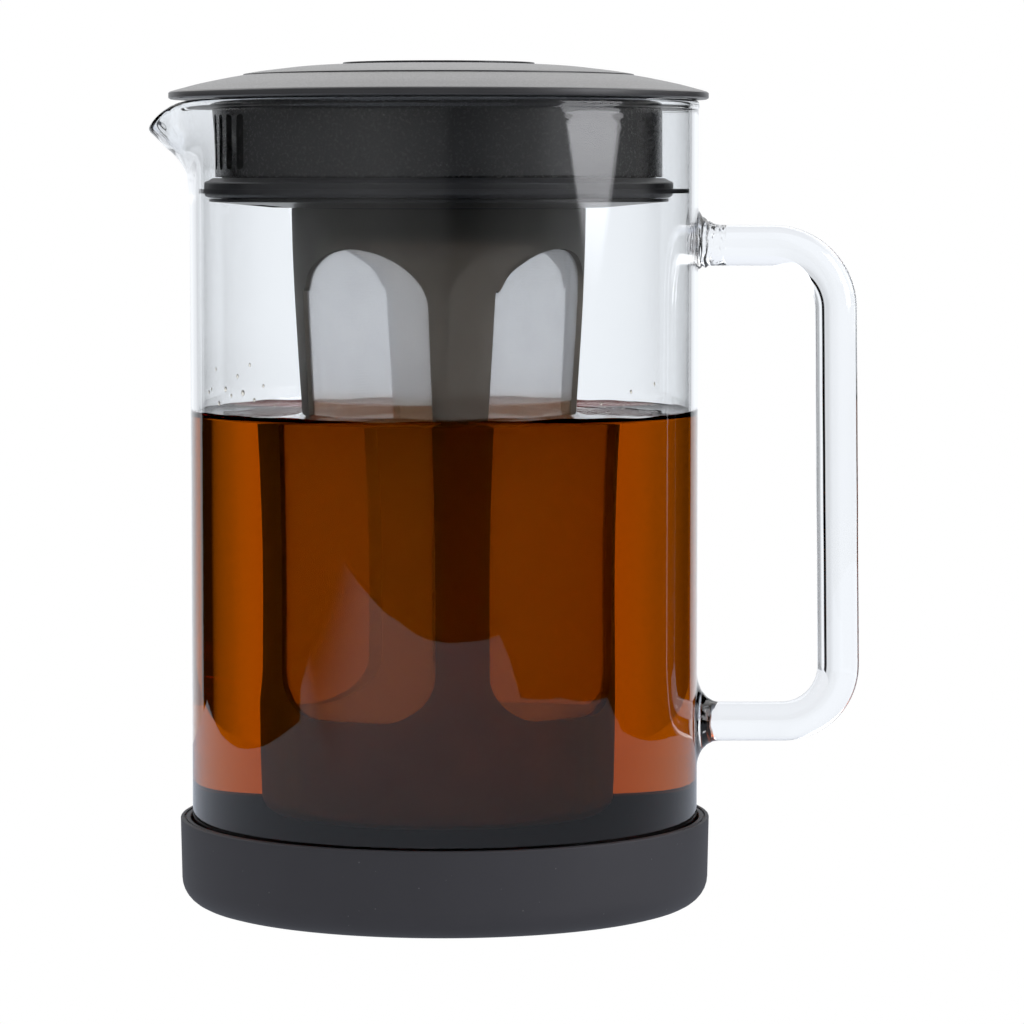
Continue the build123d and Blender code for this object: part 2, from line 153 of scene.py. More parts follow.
# ------------------------------------------------------------------ node helpers
class Tree:
    def __init__(self, tree):
        self.t = tree
        tree.nodes.clear()

    def add(self, kind, **settings):
        n = self.t.nodes.new(kind)
        for k, v in settings.items():
            setattr(n, k, v)
        return n

    def put(self, node, name, value):
        node.inputs[name].default_value = value

    def link(self, a, b):
        self.t.links.new(a, b)

    def math(self, op, a, b=None, c=None, clamp=False):
        n = self.add("ShaderNodeMath", operation=op, use_clamp=clamp)
        for i, v in enumerate((a, b, c)):
            if v is None:
                continue
            if isinstance(v, (int, float)):
                n.inputs[i].default_value = v
            else:
                self.link(v, n.inputs[i])
        return n.outputs[0]

    def ramp(self, fac, stops, interpolation="LINEAR"):
        n = self.add("ShaderNodeValToRGB")
        n.color_ramp.interpolation = interpolation
        el = n.color_ramp.elements
        while len(el) < len(stops):
            el.new(0.5)
        for e, (p, c) in zip(el, stops):
            e.position = p
            e.color = c if len(c) == 4 else (*c, 1.0)
        self.link(fac, n.inputs["Fac"])
        return n.outputs["Color"]

    def remap(self, value, a, b, c=0.0, d=1.0, smooth=False):
        n = self.add("ShaderNodeMapRange", interpolation_type="SMOOTHSTEP" if smooth else "LINEAR")
        self.link(value, n.inputs["Value"])
        for k, v in (("From Min", a), ("From Max", b), ("To Min", c), ("To Max", d)):
            n.inputs[k].default_value = v
        return n.outputs["Result"]

    def mix(self, fac, a, b, blend="MIX"):
        n = self.add("ShaderNodeMix", data_type="RGBA", blend_type=blend)
        for socket, v in ((n.inputs[0], fac), (n.inputs[6], a), (n.inputs[7], b)):
            if isinstance(v, (int, float)):
                socket.default_value = v
            elif isinstance(v, tuple):
                socket.default_value = v if len(v) == 4 else (*v, 1.0)
            else:
                self.link(v, socket)
        return n.outputs[2]

    def noise(self, vec, scale, detail=2.0, rough=0.5, distortion=0.0):
        n = self.add("ShaderNodeTexNoise")
        n.inputs["Scale"].default_value = scale
        n.inputs["Detail"].default_value = detail
        n.inputs["Roughness"].default_value = rough
        n.inputs["Distortion"].default_value = distortion
        self.link(vec, n.inputs["Vector"])
        return n.outputs["Fac"]

    def bump(self, height, strength, distance, normal=None):
        n = self.add("ShaderNodeBump")
        n.inputs["Strength"].default_value = strength
        n.inputs["Distance"].default_value = distance
        self.link(height, n.inputs["Height"])
        if normal is not None:
            self.link(normal, n.inputs["Normal"])
        return n.outputs["Normal"]

    def position(self):
        return self.add("ShaderNodeTexCoord").outputs["Object"]


def material(name):
    m = bpy.data.materials.new(name)
    m.use_nodes = True
    return m, Tree(m.node_tree)


def principled(t, **values):
    p = t.add("ShaderNodeBsdfPrincipled")
    for k, v in values.items():
        p.inputs[k.replace("_", " ")].default_value = v
    return p


def output(t, surface, volume=None):
    o = t.add("ShaderNodeOutputMaterial")
    t.link(surface, o.inputs["Surface"])
    if volume is not None:
        t.link(volume, o.inputs["Volume"])
    return o


# ------------------------------------------------------------------ materials
def glass_material(name, ior):
    m, t = material(name)
    p = principled(t, Base_Color=(0.985, 0.995, 1.0, 1.0), Roughness=0.0, IOR=ior, Transmission_Weight=1.0)
    pos = t.position()
    # drawn tubing: long, very shallow waves that run down the wall, and a little unevenness
    stretch = t.add("ShaderNodeMapping")
    stretch.inputs["Scale"].default_value = (90.0, 90.0, 9.0)
    t.link(pos, stretch.inputs["Vector"])
    waves = t.noise(stretch.outputs["Vector"], 1.0, 2.0, 0.45)
    # where the glass was worked by hand, at the spout and the rod's upper joint, it is less even
    xyz = t.add("ShaderNodeSeparateXYZ")
    t.link(pos, xyz.inputs[0])
    x, z = xyz.outputs["X"], xyz.outputs["Z"]
    spout = t.math("MULTIPLY", t.remap(x, -0.0612, -0.0650, 0.0, 1.0, smooth=True), t.remap(z, 0.1790, 0.1840, 0.0, 1.0, smooth=True))
    joint = t.math("MULTIPLY", t.remap(x, 0.0612, 0.0625, 0.0, 0.7, smooth=True), t.remap(x, 0.0660, 0.0675, 1.0, 0.0, smooth=True))
    joint = t.math("MULTIPLY", joint, t.remap(z, 0.1450, 0.1470, 0.0, 1.0, smooth=True))
    folds = t.math("MULTIPLY", t.noise(pos, 120.0, 0.0, 0.5, 0.6), t.math("MULTIPLY", spout, 1.1))
    ragged = t.math("MULTIPLY", t.noise(pos, 300.0, 2.0, 0.5, 0.8), joint)
    t.link(t.bump(t.math("ADD", folds, ragged), 1.0, 0.0010, t.bump(waves, 0.35, 0.00010)), p.inputs["Normal"])
    output(t, p.outputs[0])
    return m


mat_glass = glass_material("clear_glass_dry", 1.47)
mat_glass_wet = glass_material("clear_glass_wet", 1.47 / 1.335)


def coffee_material(name, ior, ripple):
    m, t = material(name)
    p = principled(t, Base_Color=(1.0, 1.0, 1.0, 1.0), Roughness=0.0, IOR=ior, Transmission_Weight=1.0)
    if ripple:
        pos = t.position()
        h = t.noise(pos, 130.0, 3.0, 0.55)
        t.link(t.bump(h, 0.3, 0.0002), p.inputs["Normal"])
    v = t.add("ShaderNodeVolumeAbsorption")
    v.inputs["Color"].default_value = (0.875, 0.655, 0.0, 1.0)
    v.inputs["Density"].default_value = 85.0
    output(t, p.outputs[0], v.outputs[0])
    return m


mat_coffee = coffee_material("coffee_body", 1.0, False)
mat_coffee_top = coffee_material("coffee_surface", 1.335, True)


def specks(t, pos, scale, cut, soft=0.02):
    """Sparse small dots, 0 or 1."""
    v = t.add("ShaderNodeTexVoronoi", feature="F1")
    v.inputs["Scale"].default_value = scale
    v.inputs["Randomness"].default_value = 1.0
    t.link(pos, v.inputs["Vector"])
    dot = t.remap(v.outputs["Distance"], cut, cut + soft, 1.0, 0.0)
    pick = t.add("ShaderNodeSeparateColor")
    t.link(v.outputs["Color"], pick.inputs[0])
    return dot, pick.outputs[0]


def plastic(name, color, rough, grain_scale, grain_depth, mottling=0.15, specular=0.5, dust=0.0, dust_scale=420.0,
            streaks=0.0, rough_var=0.06):
    m, t = material(name)
    p = principled(t, Roughness=rough, IOR=1.5)
    p.inputs["Specular IOR Level"].default_value = specular
    pos = t.position()
    broad = t.noise(pos, 45.0, 3.0, 0.6)
    grain = t.noise(pos, grain_scale, 3.0, 0.6)
    shade = t.math("ADD", t.math("MULTIPLY", broad, 0.6), t.math("MULTIPLY", grain, 0.4))
    dark = tuple(c * (1 - mottling) for c in color)
    light = tuple(c * (1 + mottling) for c in color)
    col = t.ramp(shade, [(0.32, dark), (0.68, light)])
    r = t.remap(grain, 0.3, 0.7, max(0.02, rough - rough_var), rough + rough_var)
    if dust > 0:
        dot, pick = specks(t, pos, dust_scale, 0.13)
        sel = t.remap(pick, 0.955, 0.965)
        f = t.math("MULTIPLY", t.math("MULTIPLY", dot, sel), dust)
        col = t.mix(f, col, (0.42, 0.42, 0.43))
    height = grain
    if streaks > 0:
        mp = t.add("ShaderNodeMapping")
        mp.inputs["Scale"].default_value = (300.0, 300.0, 24.0)
        t.link(pos, mp.inputs["Vector"])
        s = t.noise(mp.outputs["Vector"], 1.0, 3.0, 0.6)
        height = t.math("ADD", height, t.math("MULTIPLY", s, streaks))
    t.link(col, p.inputs["Base Color"])
    t.link(r, p.inputs["Roughness"])
    if grain_depth > 0:
        t.link(t.bump(height, 0.5, grain_depth), p.inputs["Normal"])
    output(t, p.outputs[0])
    return m


mat_lid = plastic("lid_plastic_textured", (0.036, 0.036, 0.039), 0.36, 2600.0, 0.00003, dust=0.12, dust_scale=700.0)
mat_plug = plastic("plug_plastic_satin", (0.0225, 0.0225, 0.023), 0.27, 1500.0, 0.0, mottling=0.05, specular=0.24, dust=0.12,
                   dust_scale=700.0, rough_var=0.01)
mat_plate = plastic("plate_plastic_satin", (0.017, 0.017, 0.018), 0.30, 1500.0, 0.0, mottling=0.06, specular=0.3, rough_var=0.01)
mat_seal = plastic("seal_silicone", (0.0205, 0.0205, 0.0228), 0.38, 1500.0, 0.0, mottling=0.06, specular=0.22, dust=0.15, dust_scale=800.0,
                   rough_var=0.01)
mat_boot = plastic("boot_soft_rubber", (0.035, 0.0345, 0.041), 0.60, 1900.0, 0.0, mottling=0.07, specular=0.3, dust=0.15, dust_scale=800.0,
                   rough_var=0.02)


def smoky_material():
    """Dark olive see-through plastic with a satin skin."""
    m, t = material("smoky_filter_plastic")
    pos = t.position()
    broad = t.noise(pos, 60.0, 3.0, 0.6)
    skin = principled(t, Roughness=0.55, IOR=1.5)
    skin.inputs["Specular IOR Level"].default_value = 0.15
    col = t.ramp(broad, [(0.3, (0.056, 0.056, 0.052)), (0.7, (0.066, 0.066, 0.061))])
    t.link(col, skin.inputs["Base Color"])
    through = t.add("ShaderNodeBsdfTranslucent")
    tint = t.ramp(broad, [(0.3, (0.84, 0.78, 0.70)), (0.7, (0.92, 0.87, 0.79))])
    # the translucent tint is darkened up the neck towards the plate, as painted shade under the plate; the wall is
    # thicker where it is seen edge on
    neck = t.add("ShaderNodeSeparateXYZ")
    t.link(pos, neck.inputs[0])
    # painted shade: full tint on the ribs, falling to 0.45 at the top of the neck under the plate
    painted_neck_shade = t.remap(neck.outputs["Z"], 0.1530, 0.1625, 1.0, 0.45, smooth=True)
    tint = t.mix(painted_neck_shade, (0.05, 0.05, 0.045), tint)
    t.link(tint, through.inputs["Color"])
    edge = t.add("ShaderNodeLayerWeight")
    edge.inputs["Blend"].default_value = 0.5
    open_face = t.remap(edge.outputs["Facing"], 0.12, 0.55, 1.0, 0.15, smooth=True)
    clear = t.add("ShaderNodeBsdfTransparent")
    clear.inputs["Color"].default_value = (0.75, 0.70, 0.65, 1.0)
    a = t.add("ShaderNodeMixShader")
    t.link(t.math("MULTIPLY", open_face, 0.577), a.inputs[0])
    t.link(skin.outputs[0], a.inputs[1])
    t.link(through.outputs[0], a.inputs[2])
    b = t.add("ShaderNodeMixShader")
    t.link(t.math("MULTIPLY", open_face, 0.29), b.inputs[0])
    t.link(a.outputs[0], b.inputs[1])
    t.link(clear.outputs[0], b.inputs[2])
    output(t, b.outputs[0])
    return m


mat_smoky = smoky_material()


def mesh_material():
    """Fine woven mesh: pale threads that scatter light, with gaps between them."""
    m, t = material("filter_mesh_woven")
    pos = t.position()
    xyz = t.add("ShaderNodeSeparateXYZ")
    t.link(pos, xyz.inputs[0])
    # angle about the filter's axis times its radius runs along the sheet, z runs up it
    around = t.math("MULTIPLY", t.math("ARCTAN2", xyz.outputs["Y"], t.math("ADD", xyz.outputs["X"], 0.0013)), 0.0325)
    pitch = 0.00036
    u = t.math("SINE", t.math("MULTIPLY", around, 2 * math.pi / pitch))
    v = t.math("SINE", t.math("MULTIPLY", xyz.outputs["Z"], 2 * math.pi / pitch))
    thread = t.math("MAXIMUM", u, v)
    cover = t.remap(thread, -0.5, 0.5, 0.26, 0.35)
    soil = t.noise(pos, 110.0, 3.0, 0.6)
    col = t.ramp(soil, [(0.3, (0.86, 0.88, 0.92)), (0.7, (0.93, 0.95, 0.98))])
    # it is stained just above the coffee, where it has drawn some up
    tan = t.math("MULTIPLY", t.remap(xyz.outputs["Z"], 0.1250, 0.1212, 0.0, 0.35, smooth=True), t.remap(xyz.outputs["Z"], 0.1160, 0.1168))
    col = t.mix(tan, col, (0.60, 0.47, 0.33))
    wet = t.math("MULTIPLY", t.remap(xyz.outputs["Z"], 0.1216, 0.1206, 0.0, 0.9, smooth=True), t.remap(xyz.outputs["Z"], 0.1160, 0.1168))
    col = t.mix(wet, col, (0.40, 0.19, 0.06))
    col = t.mix(t.remap(xyz.outputs["Z"], 0.1160, 0.1168, 0.75, 0.0), col, (0.42, 0.30, 0.22))
    near = principled(t, Roughness=0.55, IOR=1.5)
    t.link(col, near.inputs["Base Color"])
    far = t.add("ShaderNodeBsdfTranslucent")
    t.link(col, far.inputs["Color"])
    both = t.add("ShaderNodeMixShader")
    both.inputs[0].default_value = 0.35
    t.link(near.outputs[0], both.inputs[1])
    t.link(far.outputs[0], both.inputs[2])
    gap = t.add("ShaderNodeBsdfTransparent")
    out = t.add("ShaderNodeMixShader")
    t.link(cover, out.inputs[0])
    t.link(gap.outputs[0], out.inputs[1])
    t.link(both.outputs[0], out.inputs[2])
    output(t, out.outputs[0])
    return m


mat_mesh = mesh_material()

# ------------------------------------------------------------------ glass jug: body, spout and handle in one skin
SPOUT_CURVE = [(60.8, 168.6), (61.3, 173.1), (61.7, 175.3), (62.9, 177.5), (64.3, 179.3), (66.5, 181.3), (68.5, 183.3), (70.1, 184.8),
               (70.55, 185.5), (70.5, 186.1), (69.9, 186.45), (69.1, 186.2),
               (68.2, 185.5), (67.2, 184.6), (65.2, 182.6), (63.0, 180.5), (61.3, 178.4), (60.0, 175.8), (59.3, 173.4), (59.0, 171)]
WALL_CURVE = [(60.8, 168.6), (60.8, 173.1), (60.8, 175.9), (60.8, 178.8), (60.8, 181.7), (60.8, 184.6), (60.8, 187.5), (60.82, 190.2),
              (61.04, 191.2), (60.74, 192.2), (59.9, 192.6), (59.15, 192.25),
              (58.92, 191.3), (59.0, 189.9), (59.0, 187.0), (59.0, 184.0), (59.0, 181.0), (59.0, 177.9), (59.0, 174.8), (59.0, 171)]
# half-widths of the spout in degrees, low down and at the lip: for the reach outwards and for the dip of the edge
SPOUT_REACH = (8.0, 17.5)
SPOUT_DIP = (7.0, 11.0)

ROD_UP_R, ROD_TOP_R, ROD_LOW_R = 5.0, 4.87, 4.72
ARM_TOP_Z, ARM_LOW_Z = 158.0, 43.35
UP_TOP_X, UP_LOW_X = 93.75, 95.05          # the upright's line at the two arms' heights
BEND_TOP_R, BEND_LOW_R = 15.2, 13.6


def bend(p0, p1, p2, radius, n=24):
    """Points of the arc that rounds the corner p1."""
    p0, p1, p2 = (np.array(q, float) for q in (p0, p1, p2))
    u1, u2 = (p0 - p1) / np.linalg.norm(p0 - p1), (p2 - p1) / np.linalg.norm(p2 - p1)
    half = math.acos(float(u1 @ u2)) / 2
    bis = (u1 + u2) / np.linalg.norm(u1 + u2)
    c = p1 + bis * radius / math.sin(half)
    a, b = p1 + u1 * radius / math.tan(half) - c, p1 + u2 * radius / math.tan(half) - c
    ang = math.acos(max(-1.0, min(1.0, float(a @ b) / radius ** 2)))
    return [c + (math.sin((1 - k / n) * ang) * a + math.sin(k / n * ang) * b) / math.sin(ang) for k in range(n + 1)]


def build_jug():
    # columns
    near = [0.7 * i for i in range(-20, 21)]                       # -14..14, handle side
    side = list(np.linspace(14.0, 148.0, 113))[1:]
    spout = list(np.linspace(148.0, 212.0, 81))[1:]
    back = list(np.linspace(212.0, 346.0, 113))[1:-1]
    deg = np.array(near + side + spout + back)
    n = len(deg)
    c0 = 20                                                        # column at 0 degrees
    off = (deg - 180.0)

    def bell(half_width):
        b = np.exp(-(off / half_width) ** 2)
        b[np.abs(off) > 50] = 0.0
        return b

    th = np.radians(deg)
    cos, sin = np.cos(th), np.sin(th)

    # rows: (plain r, plain z, spout r, spout z, wet)
    rows = []

    def plain(r, z):
        rows.append((r, z, r, z))

    for r in (7.0, 18.0, 30.0, 42.0):
        plain(r, 2.5)
    for k in range(11):
        a = math.radians(-90 + 9 * k)
        plain(51.8 + 9 * math.cos(a), 11.5 + 9 * math.sin(a))
    low_a, low_b, top_a, top_b = ARM_LOW_Z - 13.6, ARM_LOW_Z + 13.6, ARM_TOP_Z - 10.5, ARM_TOP_Z + 10.5
    for z in np.linspace(11.5, low_a, 9)[1:-1]:
        plain(GLASS_R, z)
    low0 = len(rows)
    for z in np.linspace(low_a, low_b, 17):
        plain(GLASS_R, z)
    for z in np.linspace(low_b, top_a, 37)[1:-1]:
        plain(GLASS_R, z)
    top0 = len(rows)
    for z in np.linspace(top_a, top_b, 27):
        plain(GLASS_R, z)
    a, b = curve_through(WALL_CURVE, 6), curve_through(SPOUT_CURVE, 6)
    for (r0, z0), (r1, z1) in list(zip(a, b))[1:]:
        rows.append((r0, z0, r1, z1))
    for z in np.linspace(171.0, CONTACT_Z, 19)[1:]:
        plain(BORE_R, z)
    wet_from = len(rows) - 1
    for z in np.linspace(CONTACT_Z, 12.7, 37)[1:]:
        plain(BORE_R, z)
    for k in range(1, 10):
        a_ = math.radians(-10 * k)
        plain(51.8 + 7.2 * math.cos(a_), 12.7 + 7.2 * math.sin(a_))
    for r in (42.0, 30.0, 18.0, 7.0):
        plain(r, 5.5)

    verts = []
    for r0, z0, r1, z1 in rows:
        s = min(1.0, max(0.0, (z0 - 173.0) / 15.0))
        s = s * s * (3 - 2 * s)
        r = r0 + (r1 - r0) * bell(SPOUT_REACH[0] + (SPOUT_REACH[1] - SPOUT_REACH[0]) * s)
        z = z0 + (z1 - z0) * bell(SPOUT_DIP[0] + (SPOUT_DIP[1] - SPOUT_DIP[0]) * s)
        for j in range(n):
            verts.append((r[j] * cos[j], r[j] * sin[j], z[j]))
    bottom = len(verts)
    verts.append((0.0, 0.0, 2.5))
    floor = len(verts)
    verts.append((0.0, 0.0, 5.5))

    faces, mat = [], []

    def hole(k, j):
        jj = (j - c0 + n) % n
        jj = jj if jj < n // 2 else jj - n
        if top0 <= k < top0 + 26 and -12 <= jj < 12:
            return True
        return low0 <= k < low0 + 16 and -17 <= jj < 17

    for k in range(len(rows) - 1):
        for j in range(n):
            if hole(k, j):
                continue
            q = (j + 1) % n
            faces.append((k * n + j, k * n + q, (k + 1) * n + q, (k + 1) * n + j))
            mat.append(1 if k >= wet_from else 0)
    for j in range(n):
        q = (j + 1) % n
        faces.append((bottom, q, j))
        mat.append(0)
        last = (len(rows) - 1) * n
        faces.append((last + j, last + q, floor))
        mat.append(1)

    def edge_loop(row0, nz, half, zc, sign):
        """Boundary vertices of a hole by rising angle about its centre; sign -1 turns it over."""
        loop = []
        for k in range(row0, row0 + nz + 1):
            for jj in range(-half, half + 1):
                if k in (row0, row0 + nz) or jj in (-half, half):
                    idx = k * n + (c0 + jj) % n
                    x, y, z = verts[idx]
                    loop.append((math.atan2(sign * (z - zc), y) % (2 * math.pi), idx, math.hypot(y, z - zc)))
        loop.sort()
        if loop[-1][0] > 2 * math.pi - 1e-4:
            loop = [(0.0, loop[-1][1], loop[-1][2])] + loop[:-1]
        return loop

    top_loop = edge_loop(top0, 26, 12, ARM_TOP_Z, 1)
    low_loop = edge_loop(low0, 16, 17, ARM_LOW_Z, -1)
    m = len(top_loop)
    assert m == len(low_loop) == 100, (m, len(low_loop))
    uni = np.array([2 * math.pi * j / m for j in range(m)])

    def wobble(phi, s, amp):
        """Melted-glass unevenness of the joint."""
        return amp * (np.sin(3 * phi + 9.0 * s) * 0.5 + np.sin(7 * phi - 17.0 * s + 1.0) * 0.28 + np.sin(13 * phi + 31.0 * s + 2.0) * 0.2)

    def joint_rings(loop, zc, sign, foot, reach, tube_r, folds):
        """Rings from the hole's edge to the start of the rod."""
        phi_b = np.array([l[0] for l in loop])
        rho_b = np.array([l[2] for l in loop])
        rings = []
        flat = 5
        for k in range(1, flat + 1):
            s = k / flat
            phi = phi_b + (uni - phi_b) * s
            rho = rho_b + (foot(phi) - rho_b) * s
            y = rho * np.cos(phi)
            z = zc + sign * rho * np.sin(phi)
            x = np.sqrt(GLASS_R ** 2 - y ** 2)
            rings.append(np.stack([x, y, z], 1))
        steps = 16
        for k in range(1, steps + 1):
            psi = math.pi / 2 * k / steps
            f = foot(uni)
            rho = f - (f - tube_r) * math.sin(psi)
            h = reach(uni) * (1 - math.cos(psi))
            ripple = math.sin(math.pi * k / steps)
            rho = rho + wobble(uni, k / steps, 0.9 * folds) * ripple + folds * ripple * np.sin(h * 4.6 + 1.3 * np.sin(2 * uni) + 0.8 * np.sin(5 * uni + 1.0))
            y = rho * np.cos(uni)
            z = zc + sign * rho * np.sin(uni)
            x = np.sqrt(GLASS_R ** 2 - np.clip(y, -GLASS_R, GLASS_R) ** 2) + h
            rings.append(np.stack([x, y, z], 1))
        return rings

    def foot_top(phi):
        up, down = np.clip(np.sin(phi), 0, 1), np.clip(-np.sin(phi), 0, 1)
        return 7.2 + 2.0 * up ** 1.5 - 1.2 * down ** 1.5

    def foot_low(phi):                     # phi turns downwards here
        down, up = np.clip(np.sin(phi), 0, 1), np.clip(-np.sin(phi), 0, 1)
        return 9.7 + 1.3 * down ** 1.5 + 2.5 * up ** 1.5

    def reach_top(phi):
        return 5.0 + 1.6 * np.sin(phi)

    def reach_low(phi):
        return 5.3 + 0.0 * phi

    rings = joint_rings(top_loop, ARM_TOP_Z, 1, foot_top, reach_top, ROD_TOP_R, 0.30)

    # rod: centreline points and radius
    x0 = GLASS_R + 8.5
    corner_a, corner_b = (UP_TOP_X, ARM_TOP_Z), (UP_LOW_X, ARM_LOW_Z)
    arc_a = bend((x0, ARM_TOP_Z), corner_a, corner_b, BEND_TOP_R)
    arc_b = bend(corner_a, corner_b, (x0, ARM_LOW_Z), BEND_LOW_R)

    def ease(s):
        return s * s * (3 - 2 * s)

    pts = [(x, ARM_TOP_Z, ROD_TOP_R) for x in np.linspace(x0, arc_a[0][0], 7)[:-1]]
    pts += [(p[0], p[1], ROD_TOP_R + (ROD_UP_R - ROD_TOP_R) * ease(k / 24)) for k, p in enumerate(arc_a)]
    for s in np.linspace(0, 1, 41)[1:-1]:
        p = arc_a[-1] + (arc_b[0] - arc_a[-1]) * s
        pts.append((p[0], p[1], ROD_UP_R))
    pts += [(p[0], p[1], ROD_UP_R + (ROD_LOW_R - ROD_UP_R) * ease(k / 24)) for k, p in enumerate(arc_b)]
    pts += [(x, ARM_LOW_Z, ROD_LOW_R) for x in np.linspace(arc_b[-1][0], x0 - 0.6, 7)[1:]]
    pts = np.array(pts)
    d = np.gradient(pts[:, :2], axis=0)
    d /= np.linalg.norm(d, axis=1)[:, None]
    run = np.concatenate([[0], np.cumsum(np.linalg.norm(np.diff(pts[:, :2], axis=0), axis=1))])
    for i, (x, z, r) in enumerate(pts):
        e2 = np.array([-d[i, 1], d[i, 0]])
        rr = r + 0.018 * math.sin(run[i] / 9.0) + 0.014 * math.sin(run[i] / 4.1 + 1.0)
        y = rr * np.cos(uni)
        w = rr * np.sin(uni)
        rings.append(np.stack([x + w * e2[0], y, z + w * e2[1]], 1))
    low = joint_rings(low_loop, ARM_LOW_Z, -1, foot_low, reach_low, ROD_LOW_R, 0.07)
    rings += low[::-1]

    prev = [l[1] for l in top_loop]
    for ring in rings:
        base = len(verts)
        verts.extend([tuple(v) for v in ring])
        cur = list(range(base, base + m))
        for j in range(m):
            q = (j + 1) % m
            faces.append((prev[j], prev[q], cur[q], cur[j]))
            mat.append(0)
        prev = cur
    last = [l[1] for l in low_loop]
    for j in range(m):
        q = (j + 1) % m
        faces.append((prev[j], prev[q], last[q], last[j]))
        mat.append(0)

    used = sorted({v for f in faces for v in f})
    remap = {v: i for i, v in enumerate(used)}
    verts = [verts[v] for v in used]
    faces = [tuple(remap[v] for v in f) for f in faces]
    return add_mesh("glass_jug", verts, faces, [mat_glass, mat_glass_wet], mat)


jug = build_jug()
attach(jug, "carafe")
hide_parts("glass_carafe", "glass_handle")


# ------------------------------------------------------------------ coffee in the jug
def build_coffee():
    gap = 0.02
    r_side = BORE_R - gap
    rows = []                                     # (r, z or None for the free surface)
    for r in (8.0, 20.0, 32.0, 43.0):
        rows.append((r, 5.5 + gap))
    for k in range(10):
        a = math.radians(-90 + 10 * k)
        rows.append((51.8 + (7.2 - gap) * math.cos(a), 12.7 + (7.2 - gap) * math.sin(a)))
    for z in np.linspace(12.7, CONTACT_Z, 30)[1:]:
        rows.append((r_side, z))
    side_rows = len(rows) - 1
    radii = [r_side - s for s in (0.12, 0.3, 0.55, 0.9, 1.3, 1.8, 2.5, 3.4, 4.6, 6.2, 8.2, 10.6)]
    radii += list(np.linspace(46.0, 27.0, 58)) + [24.0, 20.0, 15.0, 10.0, 5.0]
    n = 360
    verts = []

    def surface(x, y):
        r = math.hypot(x, y)
        h = CLIMB * math.exp(-(r_side - r) / 2.3)
        rho = math.hypot(x - LX, y)
        wall = 0.0
        wall = max(wall, 1.1 * math.exp(-abs(rho - 32.9) / 1.7)) if rho > 32.9 else max(wall, 1.0 * math.exp(-abs(rho - 31.0) / 1.7) if rho < 31.0 else 1.05)
        a = math.atan2(y, x)
        h *= 1 + 0.10 * math.sin(5 * a + 1.0) + 0.06 * math.sin(11 * a) + 0.05 * math.sin(23 * a + 2.0)
        return LEVEL_Z + h + wall * (1 + 0.12 * math.sin(9 * a))

    for i, (r, z) in enumerate(rows):
        for j in range(n):
            t = 2 * math.pi * j / n
            zz = z
            if i == side_rows:
                zz = min(surface(r * math.cos(t), r * math.sin(t)), CONTACT_Z + 0.6)
            verts.append((r * math.cos(t), r * math.sin(t), zz))
    for r in radii:
        for j in range(n):
            t = 2 * math.pi * j / n
            x, y = r * math.cos(t), r * math.sin(t)
            verts.append((x, y, surface(x, y)))
    total = len(rows) + len(radii)
    c_low = len(verts)
    verts.append((0, 0, 5.5 + gap))
    c_top = len(verts)
    verts.append((0, 0, surface(0, 0)))
    faces, mat = [], []
    for k in range(total - 1):
        for j in range(n):
            q = (j + 1) % n
            faces.append((k * n + j, k * n + q, (k + 1) * n + q, (k + 1) * n + j))
            mat.append(1 if k >= side_rows else 0)
    for j in range(n):
        q = (j + 1) % n
        faces.append((c_low, q, j))
        mat.append(0)
        last = (total - 1) * n
        faces.append((last + j, last + q, c_top))
        mat.append(1)
    return add_mesh("coffee", verts, faces, [mat_coffee, mat_coffee_top], mat)


coffee = build_coffee()
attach(coffee, "carafe")


def build_droplets():
    """A few small drops of coffee left on the inside of the glass, above the surface."""
    verts, faces = [], []
    spots = [(-57.5, 125.0, 0.55), (-55.0, 123.6, 0.38), (-52.5, 128.2, 0.45), (-50.5, 124.4, 0.62), (-48.0, 131.0, 0.40), (-46.5, 122.9, 0.42),
             (-62.0, 129.5, 0.35), (-60.5, 121.6, 0.48), (-43.5, 126.3, 0.36), (-66.0, 124.0, 0.40), (-40.0, 121.9, 0.34), (38.0, 122.4, 0.36),
             (47.0, 124.8, 0.40), (118.0, 123.5, 0.45), (152.0, 126.0, 0.50), (201.0, 124.2, 0.42), (258.0, 123.0, 0.38)]
    around, rings = 20, 7
    for turn, z0, size in spots:
        # turn is measured from straight ahead of the photograph's viewer, + to the right
        a0 = math.radians(turn - 90.0)
        centre = np.array([(BORE_R - 0.03) * math.cos(a0), (BORE_R - 0.03) * math.sin(a0), z0])
        inward = np.array([-math.cos(a0), -math.sin(a0), 0.0])
        along = np.array([-math.sin(a0), math.cos(a0), 0.0])
        up = np.array([0.0, 0.0, 1.0])
        base = len(verts)
        for k in range(rings):
            f = k / rings
            r, h = size * math.cos(f * math.pi / 2), 0.42 * size * math.sin(f * math.pi / 2)
            for j in range(around):
                b = 2 * math.pi * j / around
                s, w = r * math.cos(b), r * math.sin(b) * 1.18
                bow = s * s / (2 * BORE_R) * (1 - f)
                verts.append(tuple(centre + along * s + up * w + inward * (h + bow)))
        top, foot = len(verts), len(verts) + 1
        verts.append(tuple(centre + inward * 0.42 * size))
        verts.append(tuple(centre))
        for k in range(rings - 1):
            for j in range(around):
                q = (j + 1) % around
                faces.append((base + k * around + j, base + (k + 1) * around + j, base + (k + 1) * around + q, base + k * around + q))
        last = base + (rings - 1) * around
        for j in range(around):
            q = (j + 1) % around
            faces.append((last + j, top, last + q))
            faces.append((base + j, base + q, foot))
    return add_mesh("coffee_droplets", verts, faces, [mat_drop], sharp_deg=50.0)


def drop_material():
    m, t = material("coffee_drop")
    p = principled(t, Base_Color=(0.98, 0.93, 0.85, 1.0), Roughness=0.0, IOR=1.335, Transmission_Weight=1.0)
    h = t.noise(t.position(), 900.0, 1.0, 0.5)
    t.link(t.bump(h, 0.15, 0.00005), p.inputs["Normal"])
    output(t, p.outputs[0])
    return m


mat_drop = drop_material()
droplets = build_droplets()
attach(droplets, "carafe")

